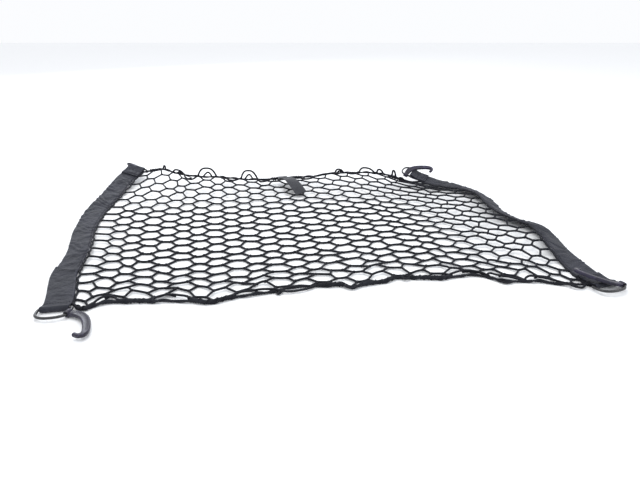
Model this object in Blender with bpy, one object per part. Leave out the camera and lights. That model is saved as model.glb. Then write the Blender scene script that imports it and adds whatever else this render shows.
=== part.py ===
"""Cargo net for a car boot floor, lying as thrown down: a knotless net between two webbing
bands and two border cords, with a D-ring and a hook on each band end and a pull tab."""

import math

import bpy
import numpy as np

MM = 0.001

# middle of the footprint in the tables below
CENTRE = (-5.0, 23.0, 0.0)

# webbing
BAND_WIDTH = 42.0
BAND_THICK = 2.4
BAND_STEP = 9.0
TAB_WIDTH = 25.0
TAB_THICK = 1.8
LAYER_GAP = 0.3
FAR_FLAP = 34.0
TAPER = 12.0
TAB_UNDER = 24.0

# net and cords
STRAND = 3.0
CORD_RADIUS = 3.0
CELL_COLUMNS = 21
CELL_ROWS = 13
SLANT_SHARE = 0.27
ROW_CROWDING = 0.30
NET_FLOOR = 1.6
FAR_REACH = 0.38
SIDE_REACH = 0.11
PIECE_GAP = 0.5
NODE_ROOM = 1.5
MOST_BACK = 12.0
EDGE_GAP = 0.7

# D-ring
WIRE_RADIUS = 2.0
RING_HALF = 24.5
RING_SIDE = 10.0
RING_DEPTH = 27.0
RING_CORNER = 2.2
RING_SQUARE = 0.85

# hook
EYE_RADIUS = 5.2
EYE_LENGTH = 10.0
EYE_HOLE = 2.9
HOOK_THICK = 6.4
TIP_RADIUS = 3.5

# left band, near end to far end: x, y, z, tilt (degrees, raises the side towards the net)
LEFT_BAND = (
    (-389, -290, 1.35, 0),
    (-393, -269, 1.35, 0),
    (-402, -242, 1.4, 0),
    (-413.5, -213, 1.4, 0),
    (-424.5, -178, 2.2, 2),
    (-436, -101, 4.4, 8),
    (-464, -9, 3.4, 5),
    (-481, 89, 3.8, -6),
    (-481, 184, 7.5, -9),
    (-477, 265, 16.5, -13),
    (-464, 324, 26, -11),
)

# right band, near end to far end: x, y, z, tilt (degrees, negative raises the side towards the net)
RIGHT_BAND = (
    (474, -219, 1.35, 0),
    (468.5, -201, 1.35, 0),
    (464, -180, 1.45, 0),
    (459, -150, 1.9, -1),
    (453, -95, 6.6, -14),
    (454, -40, 8.0, -18),
    (451, 4, 7.2, -14),
    (426, 31, 9.0, -20),
    (403, 62, 9.6, -22),
    (393, 105, 10.6, -25),
    (388, 172, 9.6, -22),
    (358, 226, 8.6, -12),
    (318, 251, 9.5, -2),
    (286, 265, 13, 4),
    (243, 284, 23, 3),
)

# how far the flap folded back over the near ends reaches
NEAR_FLAPS = {"left_band": 126.0, "right_band": 40.0}

# near cord between the bands: x, y
NEAR_CORD = (
    (-362, -280),
    (-353, -288),
    (-344, -288),
    (-334, -275),
    (-305, -268),
    (-253, -266),
    (-186, -266),
    (-165, -271),
    (-148, -264),
    (-119, -253),
    (-70, -240),
    (-46, -229),
    (-3, -221),
    (43, -217),
    (62, -224),
    (84, -215),
    (114, -207),
    (144, -193),
    (211, -196),
    (264, -185),
    (295, -192),
    (318, -206),
    (366, -205),
    (398, -213),
    (426, -216),
)

# far cord between the bands: x, y, z
FAR_CORD = (
    (-394, 310, 28),
    (-344, 289, 23),
    (-292, 281, 19),
    (-242, 282, 17),
    (-190, 274, 15),
    (-165, 271, 14.5),
    (-116, 276, 14),
    (-41, 291, 14),
    (-10, 293, 15),
    (36, 306, 18),
    (87, 303, 22),
    (137, 298, 23.5),
    (178, 283, 23),
    (208, 263, 18),
    (236, 252, 14.5),
)

# where the net starts and ends on each band, as shares of the band's length
NET_SPAN = {"left_band": (0.025, 0.985), "right_band": (0.02, 0.955)}

# hook's middle line in its own plane: x, y, width
HOOK_ARM = (
    (0, 0, 9),
    (7, 1.0, 11.5),
    (14, 1.4, 13),
    (21, 0.6, 13.2),
    (28, -2, 13),
    (35, -6.5, 12.6),
    (41.5, -12.5, 12),
    (47.5, -19.5, 11.4),
    (53, -27, 10.8),
    (57, -34.5, 10),
    (57.5, -41, 8.4),
    (53, -44.5, 6.8),
    (47.5, -44, 6),
)

# hooks: place (share of the way round the ring), lift of the arm above the ring, side of the tip
HOOKS = {
    "near_left": (0.82, -1.9, 1),
    "near_right": (0.89, 164.0, -1),
    "far_right": (0.88, 161.5, -1),
    "far_left": (0.60, 22.5, -1),
}

# rings: slope away from the band in degrees, shift along the bar towards the net
RINGS = {
    "near_left": (3.0, 1.2),
    "near_right": (8.0, 0.5),
    "far_right": (2.0, -1.0),
    "far_left": (-48.0, 1.0),
}

# tab over the far cord, cord to free end: x, y, z
TAB_PATH = (
    (-81, 264, 20),
    (-71, 246, 27.5),
    (-59, 227, 29),
    (-46, 207, 21.5),
    (-33, 187, 9.3),
)
TAB_CORD = -89.0

WEBBING = ((0.052, 0.055, 0.066, 1), 0.85, 0.0)
NETTING = ((0.012, 0.013, 0.018, 1), 0.7, 0.0)
TAB_CLOTH = ((0.06, 0.063, 0.074, 1), 0.7, 0.0)
WIRE = ((0.012, 0.012, 0.014, 1), 0.35, 0.2)
MOULDED = ((0.075, 0.065, 0.11, 1), 0.25, 0.0)


def clear_scene():
    for obj in list(bpy.data.objects):
        bpy.data.objects.remove(obj, do_unlink=True)


def material(name, look):
    made = bpy.data.materials.new(name)
    made.use_nodes = True
    shader = made.node_tree.nodes["Principled BSDF"]
    shader.inputs["Base Color"].default_value = look[0]
    shader.inputs["Roughness"].default_value = look[1]
    shader.inputs["Metallic"].default_value = look[2]
    return made


def spline(rows, count):
    """Smooth curve through the rows, as count rows evenly spaced along its length."""
    knots = np.array(rows, float)
    ends = (2 * knots[0] - knots[1], 2 * knots[-1] - knots[-2])
    q = np.vstack([ends[0], knots, ends[1]])
    t = (np.arange(16) / 16)[:, None]
    parts = []
    for a, b, c, d in zip(q[:-3], q[1:-2], q[2:-1], q[3:]):
        part = 2 * b + (c - a) * t + (2 * a - 5 * b + 4 * c - d) * t**2
        parts.append(0.5 * (part + (3 * b - a - 3 * c + d) * t**3))
    dense = np.vstack(parts + [knots[-1:]])
    return resample(dense, count)


def resample(points, count):
    reach = min(points.shape[1], 3)
    steps = np.linalg.norm(np.diff(points[:, :reach], axis=0), axis=1)
    run = np.concatenate([[0], np.cumsum(steps)])
    at = np.linspace(0, run[-1], count)
    return np.stack([np.interp(at, run, points[:, i]) for i in range(points.shape[1])], 1)


def unit(v):
    v = np.asarray(v, float)
    return v / np.linalg.norm(v, axis=-1, keepdims=True)


def band_course(rows):
    """Middle, across and up vectors along a band; across points to the right of travel."""
    length = np.linalg.norm(np.diff(np.array(rows)[:, :3], axis=0), axis=1).sum()
    line = spline(rows, int(length / BAND_STEP))
    mid = line[:, :3]
    along = unit(np.gradient(mid, axis=0))
    level = unit(np.cross(along, (0, 0, 1.0)))
    tilt = np.radians(line[:, 3:4])
    up = unit(np.cross(level, along))
    across = np.cos(tilt) * level + np.sin(tilt) * up
    return mid, across, unit(np.cross(across, along))


def end_frame(course, far):
    """Bar centre, outward and sideways directions at one end of a band."""
    mid, across, up = course
    i, j = (-1, -2) if far else (0, 1)
    out = unit(mid[i] - mid[j])
    lift = BAND_THICK / 2 + LAYER_GAP + WIRE_RADIUS
    return mid[i] + up[i] * lift, out, up[i]


def folded_course(course, near_flap, far_flap):
    """The band's course with both ends wrapped over the ring bars and laid back on top."""
    mid, across, up = course
    over = BAND_THICK + LAYER_GAP
    turn = WIRE_RADIUS + LAYER_GAP + BAND_THICK / 2
    rows = [(mid, across, up)]
    for far, flap in ((False, near_flap), (True, far_flap)):
        bar, out, top = end_frame(course, far)
        count = int(round(flap / BAND_STEP)) + 1
        side = across[-1 if far else 0]
        angle = np.radians(np.linspace(20, 200, 9))[:, None]
        loop = bar - top * turn * np.cos(angle) + out * turn * np.sin(angle)
        facing = top * np.cos(angle) - out * np.sin(angle)
        back = slice(-2, -count - 1, -1) if far else slice(1, count)
        share = np.linspace(0, 1, count)[1:, None]
        raised = 2 * turn + (over - 2 * turn) * np.clip(share * flap / TAPER, 0, 1)
        lay = mid[back] + up[back] * raised
        wrap = (loop, np.repeat(side[None], len(loop), 0), facing)
        top_run = (lay, across[back], -up[back])
        piece = [np.vstack([a, b]) for a, b in zip(wrap, top_run)]
        if far:
            rows.append(piece)
        else:
            rows.insert(0, [p[::-1] for p in piece])
    return [np.vstack([row[i] for row in rows]) for i in range(3)]


def ribbon(course, width, thick):
    """Closed strip: its middle line, across and up vectors with a width and a thickness."""
    mid, across, up = course
    w, t = width / 2, thick / 2
    corners = ((-w, -t), (w, -t), (w, t), (-w, t))
    rings = np.stack([mid + across * a + up * b for a, b in corners], 1)
    count = len(mid)
    faces = []
    for i in range(count - 1):
        for k in range(4):
            a, b = i * 4 + k, i * 4 + (k + 1) % 4
            faces += [(a, b, b + 4), (a, b + 4, a + 4)]
    last = (count - 1) * 4
    faces += [(0, 3, 2), (0, 2, 1), (last, last + 1, last + 2), (last, last + 2, last + 3)]
    return rings.reshape(-1, 3), faces


def placed(points):
    return (np.asarray(points, float) - CENTRE) * MM


def face_out(verts, faces):
    """Turns every face round if the closed shape is inside out."""
    v = np.asarray(verts, float)
    volume = sum(v[f[0]] @ np.cross(v[f[i]], v[f[i + 1]]) for f in faces for i in range(1, len(f) - 1))
    return [tuple(f) if volume > 0 else tuple(reversed(f)) for f in faces]


def add_mesh(name, verts, faces, look):
    mesh = bpy.data.meshes.new(name)
    mesh.from_pydata(placed(verts).tolist(), [], face_out(verts, faces))
    mesh.update()
    mesh.materials.append(look)
    obj = bpy.data.objects.new(name, mesh)
    bpy.context.scene.collection.objects.link(obj)
    return obj


def add_tube(name, points, radius, look, sides=8, closed=False):
    curve = bpy.data.curves.new(name, "CURVE")
    curve.dimensions = "3D"
    line = curve.splines.new("POLY")
    line.points.add(len(points) - 1)
    for point, place in zip(line.points, placed(points)):
        point.co = (*place, 1)
    line.use_cyclic_u = closed
    curve.bevel_depth = radius * MM
    curve.bevel_resolution = sides // 2 - 2
    curve.use_fill_caps = not closed
    curve.materials.append(look)
    obj = bpy.data.objects.new(name, curve)
    bpy.context.scene.collection.objects.link(obj)
    return obj


def edge_line(course, side, span):
    """A band's edge over a share of its length, just clear of the webbing."""
    mid, across, _ = course
    edge = mid + side * across * (BAND_WIDTH / 2 + EDGE_GAP)
    edge = resample(edge, 400)
    return edge[int(span[0] * 399) : int(span[1] * 399) + 1]


def beside(line, side):
    """The line moved sideways by a cord's radius and the gap, to where the net's strands end."""
    along = unit(np.gradient(line[:, :2], axis=0))
    level = np.stack([-along[:, 1], along[:, 0], np.zeros(len(line))], 1)
    return line + side * level * (CORD_RADIUS + PIECE_GAP)


class NetSurface:
    """The lie of the net: u runs left to right, v from the near edge to the far edge."""

    def __init__(self, left, right, near, far):
        self.sides = [resample(line, 201) for line in (left, right, near, far)]

    def at(self, side, share):
        line = self.sides[side]
        grid = np.linspace(0, 1, len(line))
        return np.stack([np.interp(share, grid, line[:, i]) for i in range(3)], -1)

    def point(self, u, t):
        u, t = np.asarray(u, float), np.asarray(t, float)
        v = t * (1 - ROW_CROWDING * (1 - t))
        left, right, near, far = (self.at(i, s) for i, s in enumerate((v, v, u, u)))
        a, b = u[..., None], v[..., None]
        corner = [self.at(2, 0.0), self.at(2, 1.0), self.at(3, 0.0), self.at(3, 1.0)]
        flat = (1 - b) * near + b * far + (1 - a) * left + a * right
        flat = flat - (1 - a) * (1 - b) * corner[0] - a * (1 - b) * corner[1]
        flat = flat - (1 - a) * b * corner[2] - a * b * corner[3]
        return np.stack([flat[..., 0], flat[..., 1], self.height(u, v, left, right, near, far)], -1)

    def height(self, u, v, left, right, near, far):
        """The sides' heights, each fading to the floor with its own reach."""
        low = NET_FLOOR
        back = np.clip(1 - (1 - v) / FAR_REACH, 0, 1) ** 1.7
        front = np.clip(1 - v / 0.06, 0, 1) ** 2
        west = np.clip(1 - u / SIDE_REACH, 0, 1) ** 2
        east = np.clip(1 - (1 - u) / SIDE_REACH, 0, 1) ** 2
        z = low + (far[..., 2] - low) * back + (near[..., 2] - low) * front
        z = z + (left[..., 2] - low) * west + (right[..., 2] - low) * east
        for side, fade in ((0.0, west), (1.0, east)):
            z = z - fade * back * (self.at(3, side)[2] - low)
            z = z - fade * front * (self.at(2, side)[2] - low)
        return np.maximum(z, low)


def cell_graph(columns, rows):
    """Nodes (u, t) and strands of a net of wide hexagons, offset by half a row."""
    nodes, index, strands = [], {}, []

    def node(key, u, t):
        if key not in index:
            index[key] = len(nodes)
            nodes.append((u, t))
        return index[key]

    lean = SLANT_SHARE / 2 / columns
    for k in range(1, columns):
        last = None
        for m in range(2 * rows + 1):
            wall_left = (m + k) % 2 == 0
            u = k / columns + (-lean if wall_left else lean)
            here = node(("z", k, m), u, m / (2 * rows))
            if last is not None:
                strands.append((last, here))
            last = here
    for k in range(columns):
        for m in range(1, 2 * rows):
            if (m + k) % 2 == 0:
                continue
            a = index[("z", k, m)] if k else node(("l", m), 0.0, m / (2 * rows))
            b = index[("z", k + 1, m)] if k + 1 < columns else node(("r", m), 1.0, m / (2 * rows))
            strands.append((a, b))
    return np.array(nodes), strands


def keep_clear(places, nodes, strands, lines):
    """Moves nodes off the pieces round the net. Gives the places, for each loose end the
    direction of the edge it stops at, and the strands that stay."""
    places = places.copy()
    edges = np.zeros((len(places), 2))
    mates = {}
    for a, b in strands:
        mates.setdefault(a, []).append(b)
        mates.setdefault(b, []).append(a)
    dense = [(resample(line, 1200), room, side) for line, room, side in lines]

    def clearance(spot, line, side):
        away = spot[:2] - line[:, :2]
        k = int(np.clip(np.linalg.norm(away, axis=1).argmin(), 2, len(line) - 3))
        along = unit(line[k + 2, :2] - line[k - 2, :2])
        inward = side * np.array((-along[1], along[0]))
        if 2 < k < len(line) - 3:
            return float(away[k] @ inward), along, inward
        return float(np.linalg.norm(away[k])), along, inward

    for i in range(len(places)):
        if len(mates[i]) == 1:
            continue
        for line, room, side in dense:
            gap, _, inward = clearance(places[i], line, side)
            short = room + STRAND / 2 + NODE_ROOM - gap
            if short > 0:
                places[i, :2] += inward * short
    gone = set()
    for i, near in mates.items():
        if len(near) > 1:
            continue
        u, t = nodes[i]
        line, room, side = dense[0 if t == 0 else 1 if t == 1 else 2 if u == 0 else 3]
        start, mate = places[i].copy(), places[near[0]]
        for share in np.linspace(0, 1, 101):
            spot = start + (mate - start) * share
            gap, along, _ = clearance(spot, line, side)
            if gap >= room + 0.2:
                break
        places[i] = spot
        edges[i] = along
        run = (mate - spot)[:2]
        length = np.linalg.norm(run)
        if length < 2 * STRAND or abs(run[0] * edges[i][1] - run[1] * edges[i][0]) < 0.5 * length:
            gone.add(i)
    return places, edges, [pair for pair in strands if not gone & set(pair)]


def thick_graph(places, strands, width, edges):
    """Closed solid of a net: flat strands of one width that meet in shared corners. A loose
    end is cut along the edge beside it, whose direction is in edges."""
    half = width / 2
    around = [[] for _ in places]
    for a, b in strands:
        around[a].append(b)
        around[b].append(a)
    verts, faces, corner = [], [], {}

    def pair(point, z):
        verts.append((point[0], point[1], z + half))
        verts.append((point[0], point[1], z - half))
        return len(verts) - 2

    for i, mates in enumerate(around):
        if not mates:
            continue
        here = places[i]
        heads = {}
        for j in mates:
            heads[j] = unit(places[j][:2] - here[:2])
        order = sorted(mates, key=lambda j: math.atan2(heads[j][1], heads[j][0]))
        if len(order) == 1:
            head = heads[order[0]]
            side = np.array((-head[1], head[0])) * half
            edge = edges[i] if edges[i].any() else np.array((-head[1], head[0]))
            slip = (side[0] * edge[1] - side[1] * edge[0]) / (head[0] * edge[1] - head[1] * edge[0])
            most = float(np.clip(slip, -width, width))
            end = here[:2] + head * min(abs(slip - most), MOST_BACK)
            corner[i, order[0], "l"] = pair(end + side - head * most, here[2])
            corner[i, order[0], "r"] = pair(end - side + head * most, here[2])
            continue
        for n, j in enumerate(order):
            k = order[(n + 1) % len(order)]
            p, q = heads[j], heads[k]
            left = here[:2] + np.array((-p[1], p[0])) * half
            right = here[:2] + np.array((q[1], -q[0])) * half
            cross = p[0] * q[1] - p[1] * q[0]
            if abs(cross) < 0.2:
                meet = (left + right) / 2
            else:
                gap = right - left
                meet = left + p * (gap[0] * q[1] - gap[1] * q[0]) / cross
            made = pair(meet, here[2])
            corner[i, j, "l"] = made
            corner[i, k, "r"] = made
        ring = [corner[i, j, "l"] for j in order]
        for n in range(1, len(ring) - 1):
            faces.append((ring[0], ring[n], ring[n + 1]))
            faces.append((ring[0] + 1, ring[n + 1] + 1, ring[n] + 1))
    for a, b in strands:
        al, ar = corner[a, b, "l"], corner[a, b, "r"]
        bl, br = corner[b, a, "r"], corner[b, a, "l"]
        faces += [(al, ar, br), (al, br, bl)]
        faces += [(al + 1, br + 1, ar + 1), (al + 1, bl + 1, br + 1)]
        faces += [(ar, ar + 1, br + 1), (ar, br + 1, br)]
        faces += [(al, bl + 1, al + 1), (al, bl, bl + 1)]
        for end, l, r in ((a, al, ar), (b, br, bl)):
            if len(around[end]) == 1:
                faces += [(l, l + 1, r + 1), (l, r + 1, r)]
    return verts, faces


def ring_point(angle):
    """Point of the ring's arc, a squared half ellipse beyond the bar's short sides."""
    c, s = math.cos(angle), math.sin(angle)
    x = RING_HALF * math.copysign(abs(c) ** RING_SQUARE, c)
    return np.array((x, RING_SIDE + (RING_DEPTH - RING_SIDE) * abs(s) ** RING_SQUARE))


def ring_path():
    """D outline in the ring's plane: x along the bar, y away from the band."""
    points = []
    for sign, start in ((1, 0), (-1, 90)):
        for angle in np.radians(np.linspace(start, start + 90, 4)):
            x = sign * (RING_HALF - RING_CORNER) + RING_CORNER * math.cos(angle)
            points.append((x, RING_CORNER - RING_CORNER * math.sin(angle)))
    points += [ring_point(angle) for angle in np.radians(np.linspace(178, 2, 25))]
    return np.array(points)


def ring_frame(course, far, slope, shift):
    """Origin and axes of a ring: along the bar, away from the band, and up."""
    bar, out, up = end_frame(course, far)
    along = unit(np.cross(out, up))
    turn = math.radians(slope)
    away = unit(out * math.cos(turn) + up * math.sin(turn))
    return bar + along * shift, along, away, unit(np.cross(along, away))


def hook_frame(ring, place, lift, tip_side):
    """Eye centre and hook axes: x down the arm, y along the eye, z through its thickness."""
    origin, along, away, top = ring
    loop = ring_path()
    round_way = resample(np.vstack([loop[:1], loop[8:][::-1], loop[7:8]]), 401)
    step = np.linalg.norm(round_way[1] - round_way[0])
    i = int(place * 400)
    reach = int(EYE_LENGTH / 2 / step)
    spots = [round_way[int(np.clip(i + k, 0, 400))] for k in (-reach, 0, reach)]
    x, y = (spots[1] + (spots[0] + spots[2]) / 2) / 2
    eye = origin + along * x + away * y
    chord = spots[2] - spots[0]
    tangent = unit(along * chord[0] + away * chord[1])
    outward = unit(along * chord[1] - away * chord[0])
    tilt = math.radians(lift)
    arm = unit(outward * math.cos(tilt) + top * math.sin(tilt))
    axis = tangent * tip_side
    return eye, arm, axis, unit(np.cross(arm, axis))


def sweep_arm(rows, thick, sides=8):
    """Arm with rounded rectangular sections in the x-y plane."""
    line = spline(rows, 20)
    mid = np.column_stack([line[:, 0], line[:, 1], np.zeros(len(line))])
    along = unit(np.gradient(mid, axis=0))
    across = np.stack([-along[:, 1], along[:, 0], along[:, 2]], 1)
    angles = (np.arange(sides) + 0.5) * 2 * math.pi / sides
    verts, faces = [], []
    for point, side, width in zip(mid, across, line[:, 2]):
        for a in angles:
            c, s = math.cos(a), math.sin(a)
            c = math.copysign(abs(c) ** 0.7, c)
            s = math.copysign(abs(s) ** 0.7, s)
            verts.append(point + side * c * width / 2 + np.array((0, 0, 1)) * s * thick / 2)
    for i in range(len(mid) - 1):
        for k in range(sides):
            a, b = i * sides + k, i * sides + (k + 1) % sides
            faces += [(a, a + sides, b + sides, b)]
    last = (len(mid) - 1) * sides
    faces.append(tuple(range(sides)))
    faces.append(tuple(last + k for k in reversed(range(sides))))
    return verts, faces


def cylinder(radius, length, sides=16):
    """Closed cylinder along y."""
    verts, faces = [], []
    for y in (-length / 2, length / 2):
        for k in range(sides):
            a = (k + 0.5) * 2 * math.pi / sides
            verts.append((radius * math.cos(a), y, radius * math.sin(a)))
    for k in range(sides):
        n = (k + 1) % sides
        faces.append((k, sides + k, sides + n, n))
    faces.append(tuple(range(sides)))
    faces.append(tuple(reversed(range(sides, 2 * sides))))
    return verts, faces


def ball(centre, radius, rings=6, sides=8):
    verts = [(centre[0], centre[1], centre[2] + radius)]
    for i in range(1, rings):
        polar = math.pi * i / rings
        for k in range(sides):
            a = (k + 0.25) * 2 * math.pi / sides
            x = centre[0] + radius * math.sin(polar) * math.cos(a)
            y = centre[1] + radius * math.sin(polar) * math.sin(a)
            verts.append((x, y, centre[2] + radius * math.cos(polar)))
    verts.append((centre[0], centre[1], centre[2] - radius))
    faces = [(0, 1 + k, 1 + (k + 1) % sides) for k in range(sides)]
    for i in range(rings - 2):
        for k in range(sides):
            a, b = 1 + i * sides + k, 1 + i * sides + (k + 1) % sides
            faces.append((a, a + sides, b + sides, b))
    end = len(verts) - 1
    base = end - sides
    faces += [(end, base + (k + 1) % sides, base + k) for k in range(sides)]
    return verts, faces


def helper(name, shape, look):
    obj = add_mesh(name, *shape, look)
    obj.hide_render = True
    obj.display_type = "WIRE"
    return obj


def join_cut(obj, other, operation):
    cut = obj.modifiers.new(other.name, "BOOLEAN")
    cut.operation = operation
    cut.solver = "EXACT"
    cut.object = other


def bake(obj, place):
    """Apply the modifiers and set every point in its place."""
    shape = obj.evaluated_get(bpy.context.evaluated_depsgraph_get())
    mesh = bpy.data.meshes.new_from_object(shape)
    spots = np.empty(len(mesh.vertices) * 3)
    mesh.vertices.foreach_get("co", spots)
    mesh.vertices.foreach_set("co", placed(place(spots.reshape(-1, 3) / MM + CENTRE)).ravel())
    mesh.update()
    obj.modifiers.clear()
    old = obj.data
    obj.data = mesh
    bpy.data.meshes.remove(old)


def add_hook(name, frame, look):
    eye, arm, axis, top = frame
    obj = add_mesh(name, *sweep_arm(HOOK_ARM, HOOK_THICK), look)
    tip = (HOOK_ARM[-1][0], HOOK_ARM[-1][1], 0)
    tools = [
        (helper(name + "_eye", cylinder(EYE_RADIUS, EYE_LENGTH), look), "UNION"),
        (helper(name + "_tip", ball(tip, TIP_RADIUS), look), "UNION"),
        (helper(name + "_hole", cylinder(EYE_HOLE, EYE_LENGTH * 2, 12), look), "DIFFERENCE"),
    ]
    for tool, operation in tools:
        join_cut(obj, tool, operation)
    bake(obj, lambda p: eye + p[:, :1] * arm + p[:, 1:2] * axis + p[:, 2:] * top)
    for tool, _ in tools:
        bpy.data.objects.remove(tool, do_unlink=True)
    return obj


def tab_course(far_line):
    """Tab: a short layer under the cord, round it and out along its arched path."""
    path = spline(TAB_PATH, 12)
    i = int(np.argmin(abs(far_line[:, 0] - TAB_CORD)))
    cord = far_line[i]
    heading = path[0] - cord
    cord_way = unit(far_line[i + 1] - far_line[i - 1])
    heading = (heading - cord_way * (heading @ cord_way)) * (1, 1, 0)
    toward = unit(heading)
    side = np.array((-toward[1], toward[0], 0.0))
    top = np.array((0, 0, 1.0))
    turn = CORD_RADIUS + LAYER_GAP + TAB_THICK / 2
    reach = np.linalg.norm(heading)
    rise_to = path[0][2] - cord[2]
    lean = math.atan2(rise_to - turn, reach)
    fall = math.atan2(rise_to - TAB_THICK - LAYER_GAP + turn, reach)
    angles = np.linspace(math.pi / 2 + lean, 1.5 * math.pi + fall, 10)[:, None]
    loop = cord + toward * turn * np.cos(angles) + top * turn * np.sin(angles)
    face = -(toward * np.cos(angles) + top * np.sin(angles))
    along = unit(np.gradient(path, axis=0))
    rise = unit(np.cross(np.repeat(side[None], len(path), 0), along))
    rise = np.where(rise[:, 2:] < 0, -rise, rise)
    under = int(TAB_UNDER / np.linalg.norm(path[1] - path[0]))
    low = path[:under] - rise[:under] * (TAB_THICK + LAYER_GAP)
    mid = np.vstack([path[::-1], loop, low])
    faces = np.vstack([-rise[::-1], face, rise[:under]])
    square = np.concatenate([np.linspace(0, 1, len(path)), np.ones(len(loop)), np.ones(under)])
    across = unit(side + (cord_way - side) * np.clip(square * 2 - 1, 0, 1)[:, None])
    return mid, across, faces


def main():
    clear_scene()
    webbing = material("webbing", WEBBING)
    netting = material("netting", NETTING)
    tab_cloth = material("tab_cloth", TAB_CLOTH)
    wire = material("ring_wire", WIRE)
    moulded = material("hook_plastic", MOULDED)

    left = band_course(LEFT_BAND)
    right = band_course(RIGHT_BAND)
    for name, course in (("left_band", left), ("right_band", right)):
        folded = folded_course(course, NEAR_FLAPS[name], FAR_FLAP)
        add_mesh(name, *ribbon(folded, BAND_WIDTH, BAND_THICK), webbing)

    left_edge = edge_line(left, 1, NET_SPAN["left_band"])
    right_edge = edge_line(right, -1, NET_SPAN["right_band"])
    near_rows = [(x, y, CORD_RADIUS) for x, y in NEAR_CORD]
    cords, walls = {}, []
    for name, rows, k in (("near_cord", near_rows, 0), ("far_cord", FAR_CORD, -1)):
        ends = [left_edge[k].copy(), right_edge[k].copy()]
        for end in ends:
            end[2] = max(end[2], CORD_RADIUS)
        line = spline([ends[0], *rows, ends[1]], 78)
        cords[name] = line
        tube = resample(resample(line, 400)[2:-2], 78)
        add_tube(name, tube, CORD_RADIUS, netting)
        walls.append((tube, CORD_RADIUS + PIECE_GAP, 1 if k == 0 else -1))

    near_line, far_line = beside(cords["near_cord"], 1), beside(cords["far_cord"], -1)
    sides = []
    for edge, k in ((left_edge, 0), (right_edge, -1)):
        sides.append(np.vstack([near_line[k], edge[8:-8], far_line[k]]))
    surface = NetSurface(*sides, near_line, far_line)
    nodes, strands = cell_graph(CELL_COLUMNS, CELL_ROWS)
    places = surface.point(nodes[:, 0], nodes[:, 1])
    walls += [(left_edge, 0, -1), (right_edge, 0, 1)]
    places, edges, strands = keep_clear(places, nodes, strands, walls)
    verts, faces = thick_graph(places, strands, STRAND, edges)
    add_mesh("net", verts, faces, netting)

    add_mesh("tab", *ribbon(tab_course(cords["far_cord"]), TAB_WIDTH, TAB_THICK), tab_cloth)

    for corner, (place, lift, flip) in HOOKS.items():
        far = corner.startswith("far")
        course = left if corner.endswith("left") else right
        inner = 1 if corner.endswith("left") else -1
        slope, shift = RINGS[corner]
        ring = ring_frame(course, far, slope, shift * inner * (1 if far else -1))
        path = ring_path()
        points = ring[0] + path[:, :1] * ring[1] + path[:, 1:] * ring[2]
        add_tube("ring_" + corner, points, WIRE_RADIUS, wire, closed=True)
        add_hook("hook_" + corner, hook_frame(ring, place, lift, flip), moulded)


main()
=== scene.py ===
import math

import bpy
import numpy as np
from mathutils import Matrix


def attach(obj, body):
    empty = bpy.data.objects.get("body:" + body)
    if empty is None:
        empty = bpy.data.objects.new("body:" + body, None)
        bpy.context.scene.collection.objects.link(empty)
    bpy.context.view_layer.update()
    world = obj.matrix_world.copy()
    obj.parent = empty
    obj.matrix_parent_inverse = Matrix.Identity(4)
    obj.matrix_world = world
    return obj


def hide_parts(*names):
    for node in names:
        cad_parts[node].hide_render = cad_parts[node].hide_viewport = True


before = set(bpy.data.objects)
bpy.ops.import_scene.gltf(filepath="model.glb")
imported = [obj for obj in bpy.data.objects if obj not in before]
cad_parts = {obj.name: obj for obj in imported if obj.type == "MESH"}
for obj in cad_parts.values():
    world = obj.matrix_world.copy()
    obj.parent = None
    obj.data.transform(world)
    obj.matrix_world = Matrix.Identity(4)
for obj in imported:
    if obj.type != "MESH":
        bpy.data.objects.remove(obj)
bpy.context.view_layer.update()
scene = bpy.context.scene
print("frame loaded")

room = {
    "lens": 28.125,
    "cameraPlace": (0.015, -0.943, 0.427),
    "lookDown": 26.0,  # degrees below level
    "floorSize": 9.0,
    "floorDepth": -0.0003,
    "floorColour": (0.93, 0.94, 0.955, 1),
    "skyColour": (0.97, 0.98, 1.0, 1),
    "skyStrength": 1.0,
    # name: place, size, watts, colour
    "lamps": {
        "topLamp": ((-0.5, 0.2, 2.0), 1.6, 18, (1, 0.99, 0.97)),
        "sideLamp": ((1.7, -0.9, 1.3), 1.0, 9, (0.93, 0.96, 1)),
        "backLamp": ((-0.9, 2.0, 1.2), 1.0, 20, (0.9, 0.94, 1)),
    },
}


def setRoom():
    lens = bpy.data.cameras.new("photographer")
    lens.lens = room["lens"]
    lens.sensor_width = 36.0
    lens.clip_start = 0.01
    camera = bpy.data.objects.new("photographer", lens)
    camera.location = room["cameraPlace"]
    camera.rotation_euler = (math.radians(90 - room["lookDown"]), 0, 0)
    scene.collection.objects.link(camera)
    scene.camera = camera
    for name, (place, size, watts, colour) in room["lamps"].items():
        lamp = bpy.data.lights.new(name, "AREA")
        lamp.size = size
        lamp.energy = watts
        lamp.color = colour
        stand = bpy.data.objects.new(name, lamp)
        stand.location = place
        away = np.array((0.0, 0.05, 0.0)) - place
        flat = math.hypot(away[0], away[1])
        stand.rotation_euler = (math.atan2(flat, -away[2]), 0, math.atan2(-away[0], away[1]))
        scene.collection.objects.link(stand)
    world = bpy.data.worlds.new("softSky")
    world.use_nodes = True
    sky = world.node_tree.nodes["Background"]
    sky.inputs["Color"].default_value = room["skyColour"]
    sky.inputs["Strength"].default_value = room["skyStrength"]
    scene.world = world
    scene.view_settings.view_transform = "Standard"


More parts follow.
